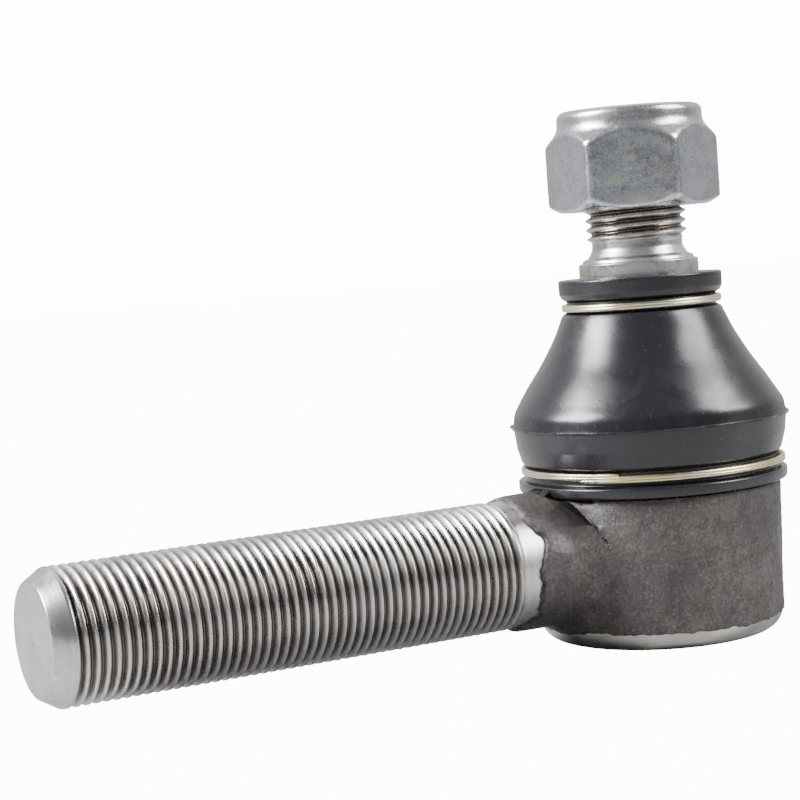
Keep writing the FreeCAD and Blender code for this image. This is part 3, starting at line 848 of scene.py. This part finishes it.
def wire_ring(name, radius, height, start, turns, slack, steps=150, sides=14):
    """A wire bent round Z, its turns side by side, with cropped and slightly rounded ends."""
    count = int(steps * turns)
    angles = np.linspace(math.radians(start), math.radians(start) + 2 * math.pi * turns, count)
    lap = (angles - angles[0]) / (2 * math.pi)
    climb = height + WIRE_STEP * (np.clip((lap - 0.06) / (turns - 0.12), 0, 1) - 0.5)
    sprung = slack * np.maximum(np.cos(angles - SLACK_SIDE), 0) ** 2
    away = radius + 0.02 * np.sin(5 * angles) + sprung
    path = np.stack([away * np.cos(angles), away * np.sin(angles), climb], axis=1)
    rows, last = [], len(path) - 1
    ends = {0: 0.75, 1: 1.0, last - 1: 1.0, last: 0.75}
    for index, at in enumerate(path):
        ahead = path[min(index + 1, last)] - path[max(index - 1, 0)]
        ahead /= np.linalg.norm(ahead)
        side = np.array([at[0], at[1], 0]) / math.hypot(at[0], at[1])
        side -= ahead * (side @ ahead)
        side /= np.linalg.norm(side)
        top = np.cross(ahead, side)
        thick = WIRE_RADIUS * ends.get(index, 1.0)
        for turn in np.arange(sides) * 2 * math.pi / sides:
            rows.append(at + thick * (math.cos(turn) * side + math.sin(turn) * top))
    faces = ring_faces(len(path), sides)
    faces += [tuple(reversed(range(sides))), tuple(range(last * sides, (last + 1) * sides))]
    return smoothed(closed_up(made_of(name, rows, faces)), 50)


def wire_finish(name, tint, grimed):
    """Drawn and passivated wire, its shine broken by grease and a smudge of dirt."""
    material, tree, shader = finish(name, Metallic=1.0)
    smear = grouped(tree, handling, Smear=9.0, Scratch=0.5)[0]
    blot, grain, _, relief = grouped(tree, mottling, Blot=5.0, Grain=0.4, Speck=0.3)
    place = in_millimetres(tree)
    golden = (tint[0], 0.97 * tint[1], 0.72 * tint[2], 1)
    colour = mixed(tree, between(tree, noise_at(tree, place, 16.0, 1.0), 0.4, 0.6), tint, golden)
    smudge = patch(tree, place, grimed, 2.6)
    dirt = math_of(tree, "MAXIMUM", between(tree, blot, 0.68, 0.76), smudge)
    dirt = math_of(tree, "MULTIPLY", dirt, between(tree, grain, 0.4, 0.6, 0.3, 0.9))
    colour = mixed(tree, dirt, colour, (0.05, 0.04, 0.03, 1))
    tree.links.new(colour, shader.inputs["Base Color"])
    tree.links.new(between(tree, smear, 0.0, 1.0, 0.24, 0.34), shader.inputs["Roughness"])
    embossed(tree, shader, relief, 0.004)
    return material


lower_wire = wire_ring("lower_boot_ring_wire", 20.48, 12.7, 203, 2.05, 0.35)
lower_wire.data.materials.append(wire_finish("lower_ring_wire", (0.62, 0.58, 0.45, 1), (-18.8, -9.4, 12.7)))
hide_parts("lower_boot_ring")
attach(lower_wire, "eye")

upper_wire = wire_ring("upper_boot_ring_wire", 12.26, 38.45, 60, 2.08, 0.1)
upper_wire.data.materials.append(wire_finish("upper_ring_wire", (0.64, 0.6, 0.47, 1), (9.0, 8.5, 38.4)))
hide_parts("upper_boot_ring")
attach(upper_wire, "boot_top")

# ---------------------------------------------------------------- lock nut
# A cold formed steel nut, zinc plated and passivated. Its crown is rolled in over a nylon ring, which
# grips the thread; the hexagon is bevelled at both ends and its thread is cut right through.

NUT_TURN = 25.2
NUT_HALF_FLATS = 12.0
NUT_LOW = 53.4
NUT_TOP = 69.4
NUT_BEVEL_RADIUS = 11.6
CROWN_RADIUS = 11.55
CROWN_ROUND = 1.3
CROWN_START = 60
CROWN_MOUTH = 9.4
CROWN_UNDERSIDE = 68.2
NUT_SHOULDER = 66.3
NUT_BORE = 8.7
POCKET_RADIUS = 10.05
POCKET_LOW = 64.75
POCKET_HIGH = 68.45


def nut_rule(points):
    """Distance from the nut's outside and bore, with cold formed edges."""
    x, y, z = points.T
    out = np.hypot(x, y)
    hexagon = np.full(len(points), -1e3)
    for face in range(6):
        normal = math.radians(NUT_TURN + 30 + 60 * face)
        flat = x * math.cos(normal) + y * math.sin(normal) - NUT_HALF_FLATS
        hexagon = trimmed(hexagon, flat, 0.8)
    high_slope = math.atan2(3.4, 3.0)
    low_slope = math.atan2(1.6, 3.0)
    beyond = out - NUT_BEVEL_RADIUS
    high = (z - NUT_SHOULDER) * math.cos(high_slope) + beyond * math.sin(high_slope)
    low = (NUT_LOW - z) * math.cos(low_slope) + beyond * math.sin(low_slope)
    body = trimmed(trimmed(trimmed(hexagon, high, 0.28), low, 0.3), NUT_LOW - z, 0.3)
    corner = np.maximum(np.stack([out - CROWN_RADIUS + CROWN_ROUND, z - NUT_TOP + CROWN_ROUND]), 0)
    crown = np.maximum(np.hypot(*corner) - CROWN_ROUND, CROWN_START - z)
    whole = trimmed(blended(body, crown, 0.7), NUT_BORE - out, 0.25)
    pocket = np.maximum(out - POCKET_RADIUS, np.maximum(POCKET_LOW - z, z - POCKET_HIGH))
    opening = np.maximum(out - CROWN_MOUTH, CROWN_UNDERSIDE - z)
    return trimmed(np.maximum(whole, -pocket), -opening, 0.2)


def plated_skin(at):
    """Forming leaves the outside of the nut faintly uneven."""
    if at.x**2 + at.y**2 <= 10.5**2:
        return 0
    return 0.035 * noise.fractal(at / 2.6, 0.9, 2.1, 2)


nut_stock = turned_ring("nut_stock", [
    (NUT_BORE, NUT_LOW), (12.4, NUT_LOW), (12.4, 65), (11.5, NUT_TOP), (CROWN_MOUTH, NUT_TOP),
    (CROWN_MOUTH, 68.4), (POCKET_RADIUS, 68.4), (POCKET_RADIUS, POCKET_LOW), (NUT_BORE, POCKET_LOW),
], 120)
nut_body = carved("lock_nut_body", nut_stock, nut_rule, 0.22)
roughened(nut_body, plated_skin)
smoothed(nut_body, 60)

NUT_SCREW_LOW = 53.55
NUT_SCREW_HIGH = 64.6
NUT_SLEEVE = 9.3
NUT_CREST = 8.06
NUT_ROOT = 8.85
NUT_THREAD_START = NUT_SCREW_LOW + 0.85
NUT_THREAD_END = NUT_SCREW_HIGH - 0.3


def nut_crest(height):
    """The crests of the nut's thread keep one radius."""
    return np.full_like(height, NUT_CREST)


def nut_begin(height):
    """The tap's thread fades at both ends."""
    rise = np.clip((height - NUT_THREAD_START) / 0.6, 0, 1)
    return rise * np.clip((NUT_THREAD_END - height) / 0.6, 0, 1)


screw_low = spaced([
    (NUT_SLEEVE, NUT_SCREW_LOW), (8.9, NUT_SCREW_LOW), (NUT_CREST, NUT_THREAD_START),
], 0.4, closed=False)
screw_high = [
    (NUT_CREST, NUT_THREAD_END), (8.3, NUT_SCREW_HIGH), (NUT_SLEEVE, NUT_SCREW_HIGH),
    (NUT_SLEEVE, NUT_SCREW_LOW),
]
nut_screw = threaded(
    "lock_nut_thread", screw_low[:-1], NUT_THREAD_START, NUT_THREAD_END, screw_high,
    nut_crest, NUT_ROOT, nut_begin, 96, inward=True)
smoothed(closed_up(nut_screw), 50)

zinc_plate, tree, shader = finish("zinc_plate", Metallic=1.0)
blot, grain, _, _ = grouped(tree, mottling, Blot=5.0, Grain=0.38, Speck=0.5)
smear = grouped(tree, handling, Smear=6.0, Scratch=0.7)[0]
worn = grouped(tree, worn_edges, From=0.53, To=0.6, Break=0.8)[0]
tone = math_of(tree, "MULTIPLY_ADD", grain, 0.7, math_of(tree, "MULTIPLY", blot, 0.3))
colour = mixed(tree, between(tree, tone, 0.28, 0.72), (0.34, 0.36, 0.4, 1), (0.58, 0.6, 0.635, 1))
rosy = noise_at(tree, in_millimetres(tree), 5.0, 1.0)
colour = mixed(tree, between(tree, rosy, 0.53, 0.7, 0.0, 0.5), colour, (0.66, 0.54, 0.54, 1))
colour = mixed(tree, between(tree, rosy, 0.45, 0.28, 0.0, 0.4), colour, (0.66, 0.65, 0.46, 1))
colour = mixed(tree, math_of(tree, "MULTIPLY", worn, 0.75), colour, (0.88, 0.89, 0.9, 1))
tree.links.new(colour, shader.inputs["Base Color"])
dulled = math_of(tree, "MULTIPLY_ADD", smear, 0.3, math_of(tree, "MULTIPLY", grain, 0.7))
tree.links.new(between(tree, dulled, 0.2, 0.8, 0.24, 0.33), shader.inputs["Roughness"])
embossed(tree, shader, grain, 0.02)
for piece in (nut_body, nut_screw):
    piece.data.materials.clear()
    piece.data.materials.append(zinc_plate)
    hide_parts("lock_nut")
    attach(piece, "nut")

nylon, tree, shader = finish("nylon", Roughness=0.4, Subsurface_Weight=0.1)
blot, _, _, relief = grouped(tree, mottling, Blot=2.0, Grain=0.3, Speck=0.3)
colour = mixed(tree, blot, (0.7, 0.7, 0.66, 1), (0.82, 0.82, 0.79, 1))
tree.links.new(colour, shader.inputs["Base Color"])
embossed(tree, shader, relief, 0.02)
nodes["nylon_insert"].data.materials.clear()
nodes["nylon_insert"].data.materials.append(nylon)

# ---------------------------------------------------------------- bench, lights and camera
# A white table under soft boxes to the left, the right and overhead; the room behind the camera is
# dimmer, so that bright metal has something dark to mirror.

TABLE_REACH = 3000
TABLE_GAP = 0.0002
TABLE_GLOW = 14.0
table = made_of("table_top", spun([(0.1, 0), (TABLE_REACH, 0)], 96), ring_faces(2, 96))
table.location.z = cad_low.z - TABLE_GAP
table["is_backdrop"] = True
table_white, tree, shader = finish("table_white", Roughness=0.6)
blot = grouped(tree, mottling, Blot=40.0, Grain=6.0, Speck=4.0)[0]
colour = mixed(tree, blot, (0.37, 0.37, 0.37, 1), (0.41, 0.41, 0.41, 1))
tree.links.new(colour, shader.inputs["Base Color"])
glow = add(tree, "ShaderNodeEmission", {"Color": (1, 1, 1, 1), "Strength": TABLE_GLOW}).outputs[0]
seen = add(tree, "ShaderNodeLightPath").outputs["Is Camera Ray"]
mostly = math_of(tree, "MULTIPLY", seen, 0.96)
blend = add(tree, "ShaderNodeMixShader", {0: mostly, 1: shader.outputs[0], 2: glow})
tree.links.new(blend.outputs[0], tree.nodes["Material Output"].inputs["Surface"])
table.data.materials.append(table_white)

BACKDROP_WAY = (0.47, 0.88, 0.0)
BACKDROP_GLOW = 13.5
world = bpy.data.worlds.new("studio")
bpy.context.scene.world = world
world.use_nodes = True
tree = world.node_tree
way = add(tree, "ShaderNodeTexCoord").outputs["Generated"]
facing = add(tree, "ShaderNodeVectorMath", {0: way, 1: BACKDROP_WAY}, operation="DOT_PRODUCT")
backdrop = between(tree, facing.outputs["Value"], -0.1, 0.9, 0.0, 0.85)
height = add(tree, "ShaderNodeSeparateXYZ", {0: way}).outputs[2]
room = math_of(tree, "ADD", backdrop, between(tree, height, 0.0, 0.55, 0.15, 0.34))
seen = add(tree, "ShaderNodeLightPath").outputs["Is Camera Ray"]
strength = math_of(tree, "ADD", room, math_of(tree, "MULTIPLY", seen, BACKDROP_GLOW))
tree.links.new(strength, tree.nodes["Background"].inputs["Strength"])
tree.nodes["Background"].inputs["Color"].default_value = (1, 1, 1, 1)

middle = (cad_low + cad_high) / 2


def soft_box(name, place, aim, width, height, power):
    """A rectangular soft box aimed at a point; all in metres and watts."""
    lamp = bpy.data.lights.new(name, "AREA")
    lamp.shape = "RECTANGLE"
    lamp.size, lamp.size_y, lamp.energy = width, height, power
    box = bpy.data.objects.new(name, lamp)
    bpy.context.scene.collection.objects.link(box)
    box.location = place
    box.rotation_euler = (Vector(aim) - Vector(place)).to_track_quat("-Z", "Y").to_euler()
    box.visible_camera = False


soft_box("left_box", (-0.68, 0.2, 0.5), middle, 0.34, 0.4, 25)
soft_box("right_box", (0.5, -0.5, 0.55), middle, 0.4, 0.5, 12)
soft_box("top_box", (0.2, 0.3, 0.85), middle, 0.9, 0.6, 1.8)

CAMERA_PLACE = Vector((-0.19315, -0.27734, 0.05071))
CAMERA_AZIMUTH = math.radians(-28.13)
CAMERA_TILT = math.radians(4.26)
CAMERA_ROLL = math.radians(-4.29)
CAMERA_LENS = 94.46
SENSOR_WIDTH = 36
forward = Vector((-math.sin(CAMERA_AZIMUTH) * math.cos(CAMERA_TILT),
                  math.cos(CAMERA_AZIMUTH) * math.cos(CAMERA_TILT), -math.sin(CAMERA_TILT)))
right = Vector((math.cos(CAMERA_AZIMUTH), math.sin(CAMERA_AZIMUTH), 0))
up = right.cross(forward)
camera_x = math.cos(CAMERA_ROLL) * right + math.sin(CAMERA_ROLL) * up
camera_y = -math.sin(CAMERA_ROLL) * right + math.cos(CAMERA_ROLL) * up
camera = bpy.data.objects.new("camera", bpy.data.cameras.new("camera"))
bpy.context.scene.collection.objects.link(camera)
camera.data.lens = CAMERA_LENS
camera.data.sensor_width = SENSOR_WIDTH
camera.data.clip_start = 0.01
camera.matrix_world = Matrix.Translation(CAMERA_PLACE) @ Matrix(
    (camera_x, camera_y, -forward)).transposed().to_4x4()
bpy.context.scene.camera = camera

low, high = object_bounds()
